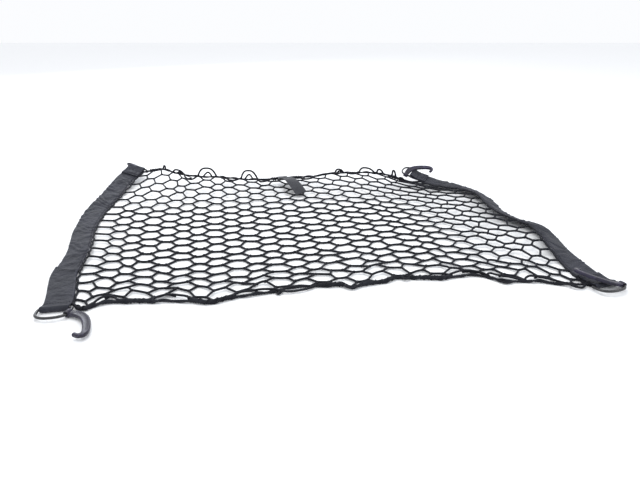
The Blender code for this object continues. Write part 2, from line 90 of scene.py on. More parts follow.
class Value:
    # wraps a number socket, so that a sum written in Python adds its Math nodes
    def __init__(self, finish, socket):
        self.finish = finish
        self.socket = socket

    def work(self, operation, *others):
        inputs = dict(enumerate((self, *others)))
        return self.finish.node("ShaderNodeMath", {"operation": operation}, inputs)

    def __add__(self, other):
        return self.work("ADD", other)

    def __sub__(self, other):
        return self.work("SUBTRACT", other)

    def __mul__(self, other):
        return self.work("MULTIPLY", other)

    def __truediv__(self, other):
        return self.work("DIVIDE", other)

    def __abs__(self):
        return self.work("ABSOLUTE")

    def wave(self):
        return self.work("SINE")

    def whole(self):
        return self.work("FLOOR")

    def between(self, low, high):
        # 0 at low, 1 at high, and held there beyond them
        span = {"clamp": True}
        return self.finish.node("ShaderNodeMapRange", span, {0: self, 1: low, 2: high, 3: 0.0, 4: 1.0})


class Finish:
    def __init__(self, name, **constants):
        self.material = bpy.data.materials.new(name)
        self.material.use_nodes = True
        self.tree = self.material.node_tree
        self.shader = self.tree.nodes["Principled BSDF"]
        for key, value in constants.items():
            self.shader.inputs[key.replace("_", " ")].default_value = value

    def node(self, kind, settings=None, inputs=None, output=0):
        made = self.tree.nodes.new(kind)
        for key, value in (settings or {}).items():
            setattr(made, key, value)
        for key, value in (inputs or {}).items():
            self.plug(made.inputs[key], value)
        return Value(self, made.outputs[output])

    def plug(self, socket, value):
        if isinstance(value, Value):
            self.tree.links.new(value.socket, socket)
        else:
            socket.default_value = value

    def mix(self, share, first, second):
        return self.node("ShaderNodeMix", {"data_type": "RGBA"}, {0: share, 6: first, 7: second}, 2)

    def noise(self, where, scale, detail=2.0, rough=0.5):
        inputs = {"Vector": where, "Scale": scale, "Detail": detail, "Roughness": rough}
        return self.node("ShaderNodeTexNoise", None, inputs)

    def solid(self):
        return self.node("ShaderNodeTexCoord", None, None, "Object")

    def cloth(self):
        # the piece's own map, in metres: across and along, or round and along
        layer = self.node("ShaderNodeUVMap", {"uv_map": "weave"})
        parts = self.tree.nodes.new("ShaderNodeSeparateXYZ")
        self.plug(parts.inputs[0], layer)
        return Value(self, parts.outputs[0]), Value(self, parts.outputs[1])

    def show(self, colour, rough=None, height=None, depth=0.0003, strength=1.0):
        self.plug(self.shader.inputs["Base Color"], colour)
        if rough is not None:
            self.plug(self.shader.inputs["Roughness"], rough)
        if height is not None:
            inputs = {"Height": height, "Distance": depth, "Strength": strength}
            self.plug(self.shader.inputs["Normal"], self.node("ShaderNodeBump", None, inputs))
        return self.material


def clothFinish(name, look):
    # ribs along the strap, abs(sin(pi across / rib)), each lifted in turn by the weft,
    # (1 + sin(2 pi along / pick + pi rib number)) / 2
    finish = Finish(name, Sheen_Weight=look["sheen"], Sheen_Roughness=0.6, Specular_IOR_Level=0.35)
    across, along = finish.cloth()
    where = finish.solid()
    column = across / look["rib"]
    ribs = abs((column * math.pi).wave())
    picks = (along * (2 * math.pi / look["pick"]) + column.whole() * math.pi).wave() * 0.5 + 0.5
    weave = ribs * (picks * 0.5 + 0.5)
    lint = finish.noise(where, 1500.0, 3.0, 0.7)
    patches = finish.noise(where, 16.0, 4.0, 0.6).between(0.36, 0.66)
    creases = finish.noise(where, 48.0, 3.0, 0.55)
    selvedge = abs(across).between(look["half"] - 0.0032, look["half"] - 0.0006)
    # lightened patches: along the selvedges real wear, and in the noise patches a painted highlight,
    # light streaks laid into the colour where the creases catch the light
    wearAndHighlight = (selvedge * 0.45 + patches * 0.55) * lint.between(0.35, 0.75)
    base = finish.mix(weave * 0.75 + 0.1, look["dark"], look["mid"])
    wearAndHighlightColour = finish.mix(wearAndHighlight * look["wear"], base, look["light"])
    height = weave + lint * 0.35 + creases * look["crease"]
    return finish.show(wearAndHighlightColour, wearAndHighlight * 0.1 + look["rough"], height, 0.00045, 0.9)


def yarnFinish(name, look):
    # two sets of yarns winding opposite ways: sin(2 pi (n turns + along / lay)) times
    # sin(2 pi (n turns - along / lay))
    finish = Finish(name, Specular_IOR_Level=0.22)
    turns, along = finish.cloth()
    where = finish.solid()
    wind = turns * (2 * math.pi * look["yarns"])
    lead = along * (2 * math.pi / look["lay"])
    braid = (wind + lead).wave() * (wind - lead).wave() * 0.5 + 0.5
    fuzz = finish.noise(where, 1800.0, 3.0, 0.7)
    faded = finish.noise(where, 22.0, 3.0, 0.6).between(0.4, 0.7)
    base = finish.mix(braid * 0.7 + fuzz * 0.3, look["dark"], look["mid"])
    colour = finish.mix(faded * fuzz * look["wear"], base, look["light"])
    return finish.show(colour, fuzz * 0.2 + look["rough"], braid + fuzz * 0.5, 0.0004, 0.9)


def mouldedFinish(name, look):
    finish = Finish(name, Coat_Roughness=0.22, Specular_IOR_Level=0.35, Coat_Weight=look["coat"])
    where = finish.solid()
    flow = finish.noise(where, 45.0, 3.0, 0.55)
    grain = finish.noise(where, 1300.0, 2.0, 0.6)
    rubs = finish.noise(where, 260.0, 4.0, 0.7).between(0.56, 0.72)
    base = finish.mix(flow.between(0.35, 0.7), look["dark"], look["mid"])
    colour = finish.mix(rubs * look["wear"], base, look["light"])
    rough = rubs * 0.25 + look["rough"] + grain * 0.08
    return finish.show(colour, rough, grain + rubs * 0.4, 0.00012, 0.6)


def wireFinish(name, look):
    # black coat over steel; the steel shows where the coat is rubbed
    finish = Finish(name, Specular_IOR_Level=0.5, Coat_Weight=0.35, Coat_Roughness=0.2)
    where = finish.solid()
    drawn = finish.noise(where, 700.0, 2.0, 0.5)
    rubbed = finish.noise(where, 120.0, 4.0, 0.7).between(0.6, 0.7)
    colour = finish.mix(rubbed * look["wear"], look["dark"], look["light"])
    finish.plug(finish.shader.inputs["Metallic"], rubbed * 0.8 + 0.1)
    return finish.show(colour, drawn * 0.15 + look["rough"], drawn + rubbed * -0.6, 0.0001, 0.6)


def floorFinish():
    finish = Finish("paleFloor", Roughness=0.7, Specular_IOR_Level=0.25)
    shade = finish.noise(finish.solid(), 1.3, 2.0, 0.5)
    light = room["floorColour"]
    dim = tuple(c * 0.985 for c in light[:3]) + (1,)
    return finish.show(finish.mix(shade, dim, light))


def layFloor():
    reach, depth = room["floorSize"] / 2, room["floorDepth"]
    corners = [(x * reach, y * reach, depth) for x, y in ((-1, -1), (1, -1), (1, 1), (-1, 1))]
    mesh = bpy.data.meshes.new("floor")
    mesh.from_pydata(corners, [], [(0, 1, 2, 3)])
    mesh.materials.append(floorFinish())
    floor = bpy.data.objects.new("floor", mesh)
    scene.collection.objects.link(floor)


# lengths from here on are in millimetres; placed() gives metres about the footprint's middle
footprintMiddle = (-5.0, 23.0, 0.0)


def placed(points):
    return (np.asarray(points, float) - footprintMiddle) * 0.001


def unit(v):
    v = np.asarray(v, float)
    return v / np.maximum(np.linalg.norm(v, axis=-1, keepdims=True), 1e-12)


def lengthRun(line):
    return np.concatenate([[0], np.cumsum(np.linalg.norm(np.diff(line, axis=0), axis=1))])


def readAt(x, steps, table):
    return np.stack([np.interp(x, steps, column) for column in table.T], -1)


def resample(points, count):
    # even steps along the line: every column read at equal shares of its length
    run = lengthRun(points[:, :3])
    return readAt(np.linspace(0, run[-1], count), run, points)


def smoothRuns(lines, times, rounding=1.0):
    # from b to c of the rows a, b, c, d: (1 - rounding) of the straight run, and rounding
    # times half of 2b + (c - a)t + (2a - 5b + 4c - d)t^2 + (3b - a - 3c + d)t^3
    first, last = 2 * lines[:, :1] - lines[:, 1:2], 2 * lines[:, -1:] - lines[:, -2:-1]
    q = np.concatenate([first, lines, last], 1)
    a, b, c, d = (q[:, i : len(q[0]) - 3 + i, None] for i in range(4))
    t = (np.arange(times) / times)[None, None, :, None]
    bend = 2 * b + (c - a) * t + (2 * a - 5 * b + 4 * c - d) * t**2 + (3 * b - a - 3 * c + d) * t**3
    line = rounding * 0.5 * bend + (1 - rounding) * (b + (c - b) * t)
    return np.concatenate([line.reshape(len(lines), -1, lines.shape[-1]), lines[:, -1:]], 1)


def spline(rows, count):
    return resample(smoothRuns(np.array([rows], float), 16)[0], count)


def ease(x, low, high):
    # s-curve from 0 at low to 1 at high: 3s^2 - 2s^3
    s = np.clip((x - low) / (high - low), 0, 1)
    return s * s * (3 - 2 * s)


def drift(x, y, seed, size, count=7):
    # smooth unevenness: a sum of sine waves in random directions, each 0.8 to 2.2 sizes long
    dice = np.random.default_rng(seed)
    turn = dice.uniform(0, 2 * math.pi, count)
    long = size * dice.uniform(0.8, 2.2, count)
    start = dice.uniform(0, 2 * math.pi, count)
    flat = x[..., None] * np.cos(turn) + y[..., None] * np.sin(turn)
    return np.sin(2 * math.pi * flat / long + start).sum(-1) / math.sqrt(count)


def wander(x, seed, size):
    return drift(x, x * 0, seed, size)


class Shell:
    # gathers patches of faces and makes one piece of them
    def __init__(self):
        self.points, self.faces, self.maps, self.marks = [], [], [], []
        self.count = 0

    def add(self, points, patches, slot=0):
        points = points.reshape(-1, 3)
        for faces, maps, smooth in patches:
            self.faces += (faces + self.count).tolist()
            self.maps.append(np.broadcast_to(maps, (*faces.shape, 2)).reshape(-1, 2))
            self.marks.append(np.tile((slot, smooth), (len(faces), 1)))
        self.points.append(points)
        self.count += len(points)

    def build(self, name, body, nodes, finishes):
        mesh = bpy.data.meshes.new(name)
        mesh.from_pydata(placed(np.vstack(self.points)).tolist(), [], self.faces)
        layer = mesh.uv_layers.new(name="weave")
        layer.data.foreach_set("uv", np.vstack(self.maps).ravel())
        marks = np.vstack(self.marks)
        mesh.polygons.foreach_set("material_index", marks[:, 0])
        mesh.polygons.foreach_set("use_smooth", marks[:, 1] > 0)
        for finish in finishes:
            mesh.materials.append(finish)
        mesh.update()
        piece = bpy.data.objects.new(name, mesh)
        scene.collection.objects.link(piece)
        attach(piece, body)
        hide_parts(*nodes)
        return piece


def sweep(shell, mid, side, lift, profile, around, slot=0, loop=False):
    # profile carried along each path: point = mid + x side + y lift, with the map's
    # first number from around and its second the length run, in metres
    count, steps, edge = mid.shape[0], mid.shape[1], profile.shape[-2]
    points = mid[:, :, None] + profile[..., :1] * side[:, :, None] + profile[..., 1:] * lift[:, :, None]
    ahead = np.roll(mid, -1, axis=1) - mid
    run = np.cumsum(np.linalg.norm(ahead, axis=2), axis=1) * 0.001
    run = np.concatenate([np.zeros((count, 1)), run], 1)[:, : steps + loop]
    first = np.arange(count)[:, None, None] * steps * edge
    i = np.arange(steps - 1 + loop)[None, :, None]
    j = np.arange(edge)[None, None, :]
    nextI, nextJ = (i + 1) % steps, (j + 1) % edge
    corners = ((i, j), (nextI, j), (nextI, nextJ), (i, nextJ))
    faces = np.stack([first + a * edge + b for a, b in corners], -1).reshape(-1, 4)
    here, there = around[:-1], around[1:]
    size = (count, steps - 1 + loop, edge)
    maps = []
    for u, v in ((here, run[:, :-1]), (here, run[:, 1:]), (there, run[:, 1:]), (there, run[:, :-1])):
        maps.append(np.stack([np.broadcast_to(u, size), np.broadcast_to(v[..., None], size)], -1))
    patches = [(faces, np.stack(maps, -2).reshape(-1, 4, 2), 1)]
    if not loop:
        start = first[:, 0] + np.arange(edge)
        end = first[:, 0] + (steps - 1) * edge + np.arange(edge)[::-1]
        patches += [(start, (0.0, 0.0), 0), (end, (0.0, 0.0), 0)]
    shell.add(points, patches, slot)


def tubes(shell, paths, radius, sides, reference=(0, 0, 1.0), slot=0, loop=False, lobes=None):
    # circle along each path: radius (cos a side + sin a lift); lobes gives a twisted cord
    # radius (1 + depth cos(ply (a - 2 pi run / lay)))
    if loop:
        along = unit(np.roll(paths, -1, axis=1) - np.roll(paths, 1, axis=1))
    else:
        along = unit(np.gradient(paths, axis=1))
    side = unit(np.cross(along, reference))
    lift = np.cross(side, along)
    angle = 2 * math.pi * np.arange(sides) / sides
    radius = np.broadcast_to(np.asarray(radius, float), paths.shape[:2])[..., None]
    if lobes:
        ply, depth, lay = lobes
        steps = np.linalg.norm(np.diff(paths, axis=1), axis=2)
        run = np.concatenate([np.zeros((len(paths), 1)), np.cumsum(steps, axis=1)], 1)[..., None]
        radius = radius * (1 + depth * np.cos(ply * (angle - 2 * math.pi * run / lay)))
    profile = np.stack([radius * np.cos(angle), radius * np.sin(angle)], -1)
    sweep(shell, paths, side, lift, profile, np.linspace(0, 1, sides + 1), slot, loop)


bands = {
    "width": 42.0,
    "thick": 2.4,
    "step": 9.0,
    "layerGap": 0.3,
    "wire": 2.0,
    "farFlap": 34.0,
    "askew": {"left": 24.0, "right": 0.0},  # degrees that the near flap's end is cut askew
    "taper": 12.0,
    "nearFlap": {"left": 126.0, "right": 40.0},
    "finer": 6,  # steps of the surface in one step of the course
    "rippleHeight": 1.1,
    "rippleLength": 23.0,
    "stitchLength": 2.8,
    "stitchPitch": 4.0,
    "drawnIn": 0.8,
    "seed": {"left": 11, "right": 23},
    # near end to far end: x, y, z, tilt in degrees
    "course": {
        "left": (
            (-389, -290, 1.35, 0), (-393, -269, 1.35, 0), (-402, -242, 1.4, 0),
            (-413.5, -213, 1.4, 0), (-424.5, -178, 2.2, 2), (-436, -101, 4.4, 8),
            (-464, -9, 3.4, 5), (-481, 89, 3.8, -6), (-481, 184, 7.5, -9),
            (-477, 265, 16.5, -13), (-464, 324, 26, -11),
        ),
        "right": (
            (474, -219, 1.35, 0), (468.5, -201, 1.35, 0), (464, -180, 1.45, 0),
            (459, -150, 1.9, -1), (453, -95, 6.6, -14), (454, -40, 8.0, -18),
            (451, 4, 7.2, -14), (426, 31, 9.0, -20), (403, 62, 9.6, -22),
            (393, 105, 10.6, -25), (388, 172, 9.6, -22), (358, 226, 8.6, -12),
            (318, 251, 9.5, -2), (286, 265, 13, 4), (243, 284, 23, 3),
        ),
    },
    "webbing": {
        "rib": 0.0014,
        "pick": 0.0023,
        "half": 0.021,
        "dark": (0.006, 0.007, 0.012, 1),
        "mid": (0.021, 0.024, 0.038, 1),
        # light and wear: colour and share of the lightened patches, partly real wear at the selvedges
        # and partly painted highlight
        "light": (0.10, 0.10, 0.15, 1),
        "wear": 0.55,
        "rough": 0.66,
        "sheen": 0.03,
        "crease": 24.0,
    },
}


def bandCourse(rows):
    # middle, across and up vectors; across is level and turned by the tilt about the run
    length = np.linalg.norm(np.diff(np.array(rows)[:, :3], axis=0), axis=1).sum()
    line = spline(rows, int(length / bands["step"]))
    mid = line[:, :3]
    along = unit(np.gradient(mid, axis=0))
    level = unit(np.cross(along, (0, 0, 1.0)))
    tilt = np.radians(line[:, 3:4])
    across = np.cos(tilt) * level + np.sin(tilt) * unit(np.cross(level, along))
    return mid, across, unit(np.cross(across, along))


def endFrame(course, far):
    mid, _, up = course
    i, j = (-1, -2) if far else (0, 1)
    lift = bands["thick"] / 2 + bands["layerGap"] + bands["wire"]
    return mid[i] + up[i] * lift, unit(mid[i] - mid[j]), up[i]


def foldedCourse(course, nearFlap, farFlap):
    # middle and across vectors; each end goes half round the ring's bar,
    # bar - top r cos a + out r sin a, and lies back on the band
    mid, across, up = course
    over = bands["thick"] + bands["layerGap"]
    turn = bands["wire"] + bands["layerGap"] + bands["thick"] / 2
    rows = [(mid, across)]
    for far, flap in ((False, nearFlap), (True, farFlap)):
        bar, out, top = endFrame(course, far)
        angle = np.radians(np.linspace(20, 200, 9))[:, None]
        loop = bar - top * turn * np.cos(angle) + out * turn * np.sin(angle)
        side = np.repeat(across[-1 if far else 0][None], len(loop), 0)
        count = int(round(flap / bands["step"])) + 1
        back = slice(-2, -count - 1, -1) if far else slice(1, count)
        share = np.linspace(0, 1, count)[1:, None]
        raised = 2 * turn + (over - 2 * turn) * np.clip(share * flap / bands["taper"], 0, 1)
        lay = mid[back] + up[back] * raised
        piece = [np.vstack([loop, lay]), np.vstack([side, across[back]])]
        if far:
            rows.append(piece)
        else:
            rows.insert(0, [part[::-1] for part in piece])
    return [np.vstack(parts) for parts in zip(*rows)]


def finer(course, times):
    # the course at a finer step, with across squared up to the run again
    line = spline(np.hstack(course), len(course[0]) * times)
    mid, across = line[:, :3], unit(line[:, 3:])
    along = unit(np.gradient(mid, axis=0))
    return mid, unit(across - along * (across * along).sum(1, keepdims=True))


def strapProfile(width, thick, flat=21, corner=5):
    # flat faces with half-round selvedges, right edge first, then over the top
    half, r = width / 2 - thick / 2, thick / 2
    bend = np.linspace(-math.pi / 2, math.pi / 2, corner + 2)[1:-1]
    right = np.stack([half + r * np.cos(bend), r * np.sin(bend)], 1)
    top = np.stack([np.linspace(half, -half, flat), np.full(flat, r)], 1)
    return np.vstack([right, top, -right, -top])


def mapAcross(profile):
    # the map runs on round the selvedge, so the ribs do too
    run = lengthRun(np.vstack([profile, profile[:1]]))
    middle = run[np.argmin(np.abs(profile[:, 0]) + (profile[:, 1] < 0) * 99)]
    shift, faceLength = (run - middle) * 0.001, run[-1] * 0.0005
    return np.where(shift > faceLength / 2, shift - faceLength, shift)


def bandRipples(mid, across, x, seed, envelope):
    # short waves across the strap, high in some patches and low in others
    spot = mid[:, None] + across[:, None] * x[None, :, None]
    run = lengthRun(mid)[:, None]
    bend = drift(spot[..., 0], spot[..., 1], seed, 46.0)
    crease = np.sin(2 * math.pi * run / bands["rippleLength"] + 4.5 * bend)
    patch = np.clip(0.5 + drift(spot[..., 0], spot[..., 1], seed + 1, 60.0), 0, 1)
    high = bands["rippleHeight"] * (0.35 + 0.65 * patch) * crease * envelope[:, None]
    return high + 0.5 * envelope[:, None] * drift(spot[..., 0], spot[..., 1], seed + 2, 34.0)


def stitchRow(shell, centres, headings, tops, length, radius=0.42):
    # s from -1/2 to 1/2 along one thread: centre + s length heading + (0.3 - 0.55 (2s)^2) top
    s = np.linspace(-0.5, 0.5, 5)[None, :, None]
    rise = 0.3 - 0.55 * (2 * s) ** 2
    paths = centres[:, None] + headings[:, None] * s * length + tops[:, None] * rise
    tubes(shell, paths, radius, 5, tops[:, None], slot=1)


def stitchAcross(shell, strap, at, sizes, radius=0.42):
    # one row across the strap; a flap's course runs backwards over the band, so its upper
    # side is found by height
    mid, across, lift = (line[at] for line in strap)
    top = lift if lift[2] > 0 else -lift
    half = sizes["width"] / 2 - 2.5
    x = np.arange(-half, half + 0.1, sizes["stitchPitch"])[:, None]
    centres = mid + x * across + top * sizes["thick"] / 2
    headings, tops = (np.tile(line, (len(x), 1)) for line in (across, top))
    stitchRow(shell, centres, headings, tops, sizes["stitchLength"], radius)


def makeBand(name, inner, finishes):
    course = bandCourse(bands["course"][name])
    nearFlap, farFlap = bands["nearFlap"][name], bands["farFlap"]
    mid, across = finer(foldedCourse(course, nearFlap, farFlap), bands["finer"])
    run = lengthRun(mid)
    wrap = math.pi * (bands["wire"] + bands["layerGap"] + bands["thick"] / 2)
    nearDone, farStart = 2 * nearFlap + wrap + 12, run[-1] - 2 * farFlap - wrap - 12
    # 1 where the band is a single layer, 0 in the flaps
    single = ease(run, nearDone, nearDone + 30) * (1 - ease(run, farStart - 30, farStart))
    profile = strapProfile(bands["width"], bands["thick"])
    ripple = bandRipples(mid, across, profile[:, 0], bands["seed"][name], single)
    shape = np.broadcast_to(profile, (len(mid), *profile.shape)).copy()
    # the net draws the selvedge in a little between its catches: (1 + sin(2 pi run / pitch)) / 2
    pull = 0.5 + 0.5 * np.sin(2 * math.pi * run / netting["catchPitch"])
    inward = np.clip(inner * profile[:, 0] / (bands["width"] / 2), 0, 1) ** 6
    shape[..., 0] -= inner * (pull * single)[:, None] * inward * bands["drawnIn"]
    under = mid[:, 2:] + across[:, 2:] * profile[:, 0] - bands["thick"] / 2
    shape[..., 1] += np.maximum(ripple, -np.clip(under - 0.1, 0, 0.9))
    shell = Shell()
    along = unit(np.gradient(mid, axis=0))
    lift = np.cross(across, along)
    turn = np.radians(bands["askew"][name]) * (1 - ease(run, 0, 45))[:, None]
    across = across * np.cos(turn) + along * np.sin(turn)
    shape[..., 0] /= np.cos(turn)
    sweep(shell, mid[None], across[None], lift[None], shape[None], mapAcross(profile))
    # rows of stitches: two over each flap's end, one by each ring, one along the net's side
    end = run[-1]
    for at in (6.0, 10.0, nearFlap - 12.0, end - 5.0, end - 9.0, end - farFlap + 12.0):
        stitchAcross(shell, (mid, across, lift), int(np.searchsorted(run, at)), bands)
    i = np.searchsorted(run, np.arange(nearDone, farStart, bands["stitchPitch"]))
    seam = inner * (bands["width"] / 2 - 3.5)
    column = int(np.argmin(np.abs(profile[:, 0] - seam) + (profile[:, 1] < 0) * 99))
    centres = mid[i] + seam * across[i] + lift[i] * shape[i, column, 1:2]
    stitchRow(shell, centres, along[i], lift[i], 3.0)
    piece = shell.build(name + "Band", "net_laid", [name + "_band"], finishes)
    return course


netting = {
    "columns": 27,
    "rows": 17,
    "strand": 1.92,
    "knot": 2.5,
    "slant": 0.38,
    "rounding": 0.32,
    "squeeze": 0.28,
    "crowding": 0.30,
    "floor": 2.05,
    "farReach": 0.38,
    "leftReach": 0.11,
    "rightReach": 0.25,
    "edgeGap": 0.7,
    "catchPitch": 24.0,
    "catchSlack": 3.4,
    "span": {"left": (0.025, 0.985), "right": (0.02, 0.955)},
    "grid": (145, 97),  # points of the evened patch, and how often it is evened
    "evenings": 700,
    "seed": 5,
    "yarn": {
        "yarns": 3,
        "lay": 0.0042,
        "dark": (0.003, 0.0035, 0.006, 1),
        "mid": (0.011, 0.012, 0.018, 1),
        "light": (0.045, 0.048, 0.064, 1),
        "wear": 0.4,
        "rough": 0.62,
    },
}

cords = {
    "radius": {"near": 2.0, "far": 2.0},
    "bunched": 3.2,
    "lay": 13.0,
    "plies": 3,
    "plyDepth": 0.13,
    "windPitch": 52.0,
    "wrapPitch": 11.0,
    "wrap": 1.15,
    "border": 1.7,
    "edge": {"near": 1.95, "far": 2.3},
    # near cord: x, y
    "near": (
        (-362, -280), (-353, -288), (-344, -288), (-334, -275), (-305, -268), (-253, -266),
        (-186, -266), (-165, -271), (-148, -264), (-119, -253), (-70, -240), (-46, -229),
        (-3, -221), (43, -217), (62, -224), (84, -215), (114, -207), (144, -193), (211, -196),
        (264, -185), (295, -192), (318, -206), (366, -205), (398, -213), (426, -216),
    ),
    # far cord: x, y, z
    "far": (
        (-394, 310, 28), (-344, 289, 23), (-292, 281, 19), (-242, 282, 17), (-190, 274, 15),
        (-165, 271, 14.5), (-116, 276, 14), (-41, 291, 14), (-10, 293, 15), (36, 306, 18),
        (87, 303, 22), (137, 298, 23.5), (178, 283, 23), (208, 263, 18), (236, 252, 14.5),
    ),
    # stretches that the net is bunched on: from x to x
    "nearBunches": (
        (-358, -336), (-303, -251), (-189, -124), (5, 48), (79, 134), (140, 225), (447, 458),
    ),
    "farBunches": ((-425, -412), (-240, -231), (-110, -100), (-50, -38), (188, 200)),
    # border strand where it leaves the cord: from x to x, towards the net, up
    "nearEdge": (
        (-336, -303, 13, 1), (-251, -189, 13, 1), (-124, -64, 9, 1), (-61, 4, -14, 0),
        (48, 79, -7, 0), (146, 161, -10, 0), (225, 290, 10, 1), (292, 345, 13, 0),
        (350, 412, 11, 1), (416, 444, -12, 0),
    ),
    "farEdge": (
        (-391, -384, -5, 8), (-362, -333, -5, 7), (-331, -298, 14, -5), (-296, -250, -12, 17),
        (-225, -190, 8, -3), (-187, -146, -14, 19), (-144, -112, 12, -4), (-40, -3, 9, -3),
        (49, 70, -5, 8), (80, 107, 6, -3), (110, 147, -6, 10), (154, 170, -5, 8),
        (190, 199, -6, 14), (206, 217, -2, 3),
    ),
    # second, slacker loops over some of those: from x to x, towards the net, up
    "nearExtra": ((-61, -50, -12, 0), (300, 330, -6, 0), (-330, -312, 5, 1)),
    "farExtra": ((-284, -262, -9, 9), (-178, -158, -9, 10), (53, 66, -4, 4), (-352, -340, -3, 4)),
}


class NetLie:
    # u runs from the left band to the right one, t from the near cord to the far one
    def __init__(self, left, right, near, far):
        self.sides = [resample(line, 401) for line in (left, right, near, far)]
        shares = (np.linspace(0, 1, count) for count in netting["grid"])
        flat = self.flat = self.patch(*np.meshgrid(*shares, indexing="ij"))
        # the net's own pull evens it out: each inner point moves to the mean of its neighbours
        for _ in range(netting["evenings"]):
            beside = flat[:-2, 1:-1] + flat[2:, 1:-1] + flat[1:-1, :-2] + flat[1:-1, 2:]
            flat[1:-1, 1:-1] = beside / 4

    def at(self, side, share):
        line = self.sides[side]
        return readAt(share, np.linspace(0, 1, len(line)), line)

    def patch(self, u, v):
        # Coons patch of the four sides
        left, right, near, far = (self.at(i, s)[..., :2] for i, s in enumerate((v, v, u, u)))
        a, b = u[..., None], v[..., None]
        corner = [self.at(side, share)[:2] for side in (2, 3) for share in (0.0, 1.0)]
        flat = (1 - b) * near + b * far + (1 - a) * left + a * right
        flat = flat - (1 - a) * (1 - b) * corner[0] - a * (1 - b) * corner[1]
        return flat - (1 - a) * b * corner[2] - a * b * corner[3]

    def point(self, u, t):
        # read between four points of the evened patch; the rows are closer at the near edge
        v = t * (1 - netting["crowding"] * (1 - u**3) * (1 - t))
        i, j = u * (len(self.flat) - 1), v * (len(self.flat[0]) - 1)
        a, b = (np.floor(np.minimum(x, x.max() - 1e-6)).astype(int) for x in (i, j))
        p, q = (i - a)[..., None], (j - b)[..., None]
        low = (1 - p) * self.flat[a, b] + p * self.flat[a + 1, b]
        high = (1 - p) * self.flat[a, b + 1] + p * self.flat[a + 1, b + 1]
        z = self.height(u, v, *(self.at(side, share) for side, share in enumerate((v, v, u, u))))
        return np.concatenate([(1 - q) * low + q * high, z[..., None]], -1)

    def height(self, u, v, left, right, near, far):
        # each side's height fades to the floor: (1 - distance / reach)^power
        low = netting["floor"]
        back = np.clip(1 - (1 - v) / netting["farReach"], 0, 1) ** 1.7
        front = np.clip(1 - v / 0.06, 0, 1) ** 2
        west = np.clip(1 - u / netting["leftReach"], 0, 1) ** 2
        east = np.clip(1 - (1 - u) / netting["rightReach"], 0, 1) ** 1.6
        z = low + (far[..., 2] - low) * back + (near[..., 2] - low) * front
        z = z + (left[..., 2] - low) * west + (right[..., 2] - low) * east
        for side, fade in ((0.0, west), (1.0, east)):
            z = z - fade * back * (self.at(3, side)[2] - low)
            z = z - fade * front * (self.at(2, side)[2] - low)
        return np.maximum(z, low)


def edgeLine(course, side, span):
    mid, across, _ = course
    edge = resample(mid + side * across * (bands["width"] / 2 + netting["edgeGap"]), 400)
    return edge[int(span[0] * 399) : int(span[1] * 399) + 1]


def levelAcross(line):
    along = unit(np.gradient(line[:, :2], axis=0))
    return np.stack([-along[:, 1], along[:, 0], np.zeros(len(line))], 1)


def caughtLine(edge, inner, seed):
    # the net's border strand: held to the webbing at catches and slack between them,
    # slack abs(sin(pi run / pitch))^0.8
    line = resample(edge, 420)
    run = lengthRun(line)
    uneven = run + 6 * wander(run, seed, 70.0)
    bulge = netting["catchSlack"] * np.abs(np.sin(math.pi * uneven / netting["catchPitch"])) ** 0.8
    bulge = bulge * (0.6 + 0.4 * wander(run, seed + 1, 50.0))
    return line + inner * levelAcross(line) * bulge[:, None]


def scallop(x, stretches):
    # how far the border strand stands off on the net's side: reach (1 - |2s - 1|^2.4)
    off = np.zeros_like(x)
    for start, end, reach in (row[:3] for row in stretches):
        s = np.clip((x - start) / (end - start), 0, 1)
        off = np.maximum(off, reach * (1 - np.abs(2 * s - 1) ** 2.4))
    return off


def netNodes(lie):
    # node (k, m): u = k / columns -+ lean, t = m / (2 rows), then moved by waves and at random
    columns, rows = netting["columns"], netting["rows"]
    k = np.arange(columns + 1)[:, None]
    m = np.arange(2 * rows + 1)[None, :]
    lean = netting["slant"] / 2 / columns
    u = k / columns + np.where((m + k) % 2 == 0, -lean, lean)
    u = np.where((k == 0) | (k == columns), k / columns, u)
    u = u + netting["squeeze"] * u**3 * (1 - u)  # columns closer together by the right band
    t = m / (2 * rows) + 0.0 * k
    spot = lie.point(u, t)
    x, y = spot[..., 0], spot[..., 1]
    dice = np.random.default_rng(netting["seed"])
    held = np.minimum(np.minimum(k, columns - k) / 1.5, 1)
    held = held * np.minimum(np.minimum(m, 2 * rows - m) / 2.0, 1)
    front = np.clip(1 - t / 0.30, 0, 1) * np.clip(m / 2.0, 0, 1)
    back = np.clip((t - 0.72) / 0.28, 0, 1)
    corner = np.clip((u - 0.7) / 0.3, 0, 1) * back
    rough = 0.9 + 1.6 * front + 1.0 * back + 3.0 * corner
    moveX = 2.6 * drift(x, y, 31, 62.0) + 3.6 * front * drift(x, y, 32, 48.0)
    moveY = 2.4 * drift(x, y, 33, 55.0) + 5.0 * front * drift(x, y, 34, 40.0)
    moveX = moveX + rough * dice.normal(0, 1, x.shape)
    moveY = moveY + 0.8 * rough * dice.normal(0, 1, x.shape)
    spot[..., 0] += held * moveX
    spot[..., 1] += held * moveY
    # the edge rows hang on the border strand, so they follow its scallops
    for edge, rowsIn, way in (("near", m, 1), ("far", 2 * rows - m, -1)):
        spot[..., 1] += way * scallop(x, cords[edge + "Edge"]) * 0.6**rowsIn
    lifted = front * (1.6 + 1.8 * drift(x, y, 35, 35.0) + 0.8 * dice.normal(0, 1, x.shape))
    spot[..., 2] += held * np.maximum(lifted, 0)
    spot[..., 2] = np.maximum(spot[..., 2], netting["floor"])
    return spot


